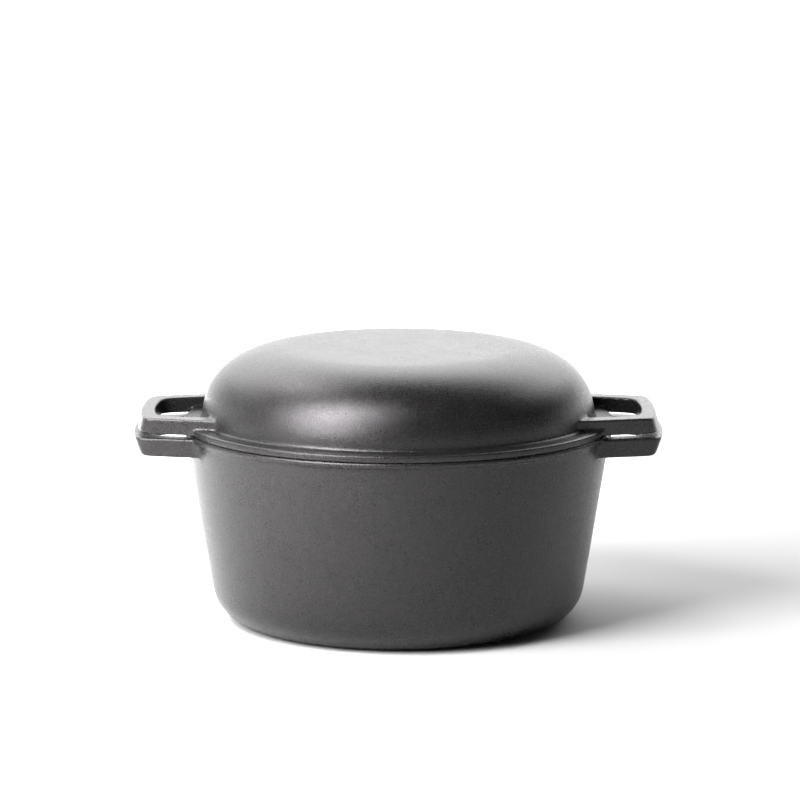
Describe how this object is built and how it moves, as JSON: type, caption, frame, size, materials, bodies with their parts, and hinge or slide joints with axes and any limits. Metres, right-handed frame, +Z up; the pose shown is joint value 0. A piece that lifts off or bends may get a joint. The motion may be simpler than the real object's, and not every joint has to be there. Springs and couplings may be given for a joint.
{
  "type": "cast iron dutch oven",
  "caption": "Deep round cast iron pot with two loop handles and a loose domed lid with loop handles, ribbed inside so that it serves as a grill pan.",
  "frame": {"origin": "centre of the pot's flat base, on the surface it stands on", "axes": "+Z up along the pot's axis, X through the handles, -Y towards the front"},
  "size_m": [0.3294, 0.268, 0.1713],
  "materials": {
    "pot_iron": "fine sand-cast grain, seasoned to a matte near-black",
    "lid_iron": "fine sand-cast grain, seasoned to a matte near-black"
  },
  "bodies": {
    "pot": {"pot_body": "pot_iron", "pot_rim": "pot_iron", "pot_handle_left": "pot_iron", "pot_handle_right": "pot_iron"},
    "lid": {"lid_dome": "lid_iron", "lid_pan_floor": "lid_iron", "lid_rim": "lid_iron", "lid_grill_ribs": "lid_iron", "lid_handle_left": "lid_iron", "lid_handle_right": "lid_iron"}
  },
  "joints": [
    {"name": "lid_open", "type": "hinge", "parent": "pot", "child": "lid", "pos_m": [0.1085, 0.0977, 0.1304], "axis": [-0.6634, 0.7368, 0.1305], "range_deg": [0, 38]}
  ]
}
